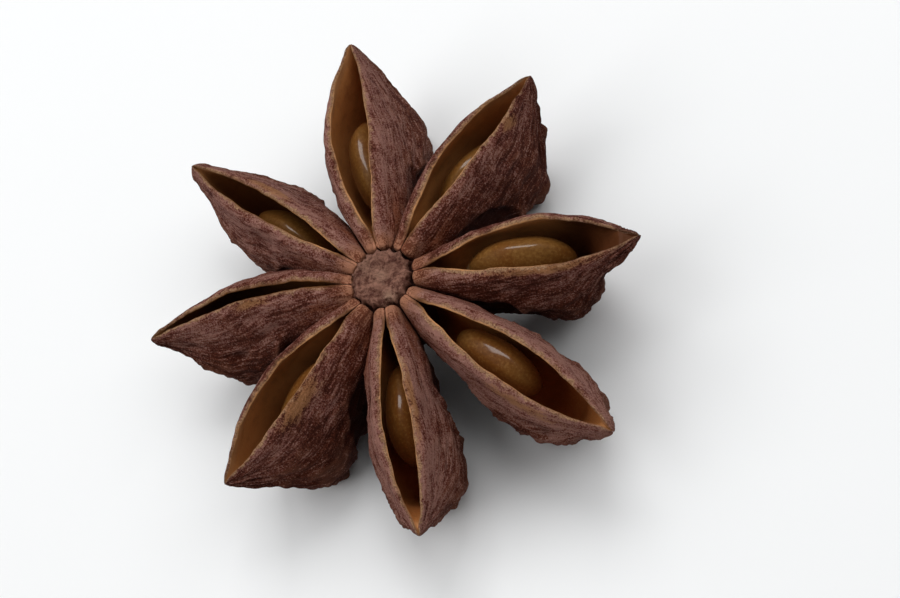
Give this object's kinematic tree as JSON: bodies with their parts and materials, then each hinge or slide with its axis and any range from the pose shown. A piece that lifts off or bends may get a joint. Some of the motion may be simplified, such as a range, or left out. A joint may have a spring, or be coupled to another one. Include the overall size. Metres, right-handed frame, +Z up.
{
  "type": "star anise",
  "caption": "Dried star-shaped spice fruit: boat-shaped woody pods round a short column, each split open along its top seam over a loose glossy seed.",
  "frame": {"origin": "on the surface that the fruit lies on, under the middle of its box", "axes": "+Z up along the column, from the stalk's scar to the disc that the seams run out from; +X and +Y lie along the surface, and pod 1 points 13 degrees past +Y towards -X"},
  "size_m": [0.0348, 0.037, 0.0096],
  "materials": {
    "pericarp": "dry, fibrous red-brown husk, matt outside, paler at the split lips and satin golden brown inside the pods",
    "seed": "smooth polished seed coat, olive to amber brown"
  },
  "bodies": {
    "root": {"pericarp": "pericarp", "seed_1": "seed", "seed_2": "seed", "seed_3": "seed", "seed_4": "seed", "seed_5": "seed", "seed_6": "seed", "seed_7": "seed", "seed_8": "seed"}
  },
  "joints": []
}
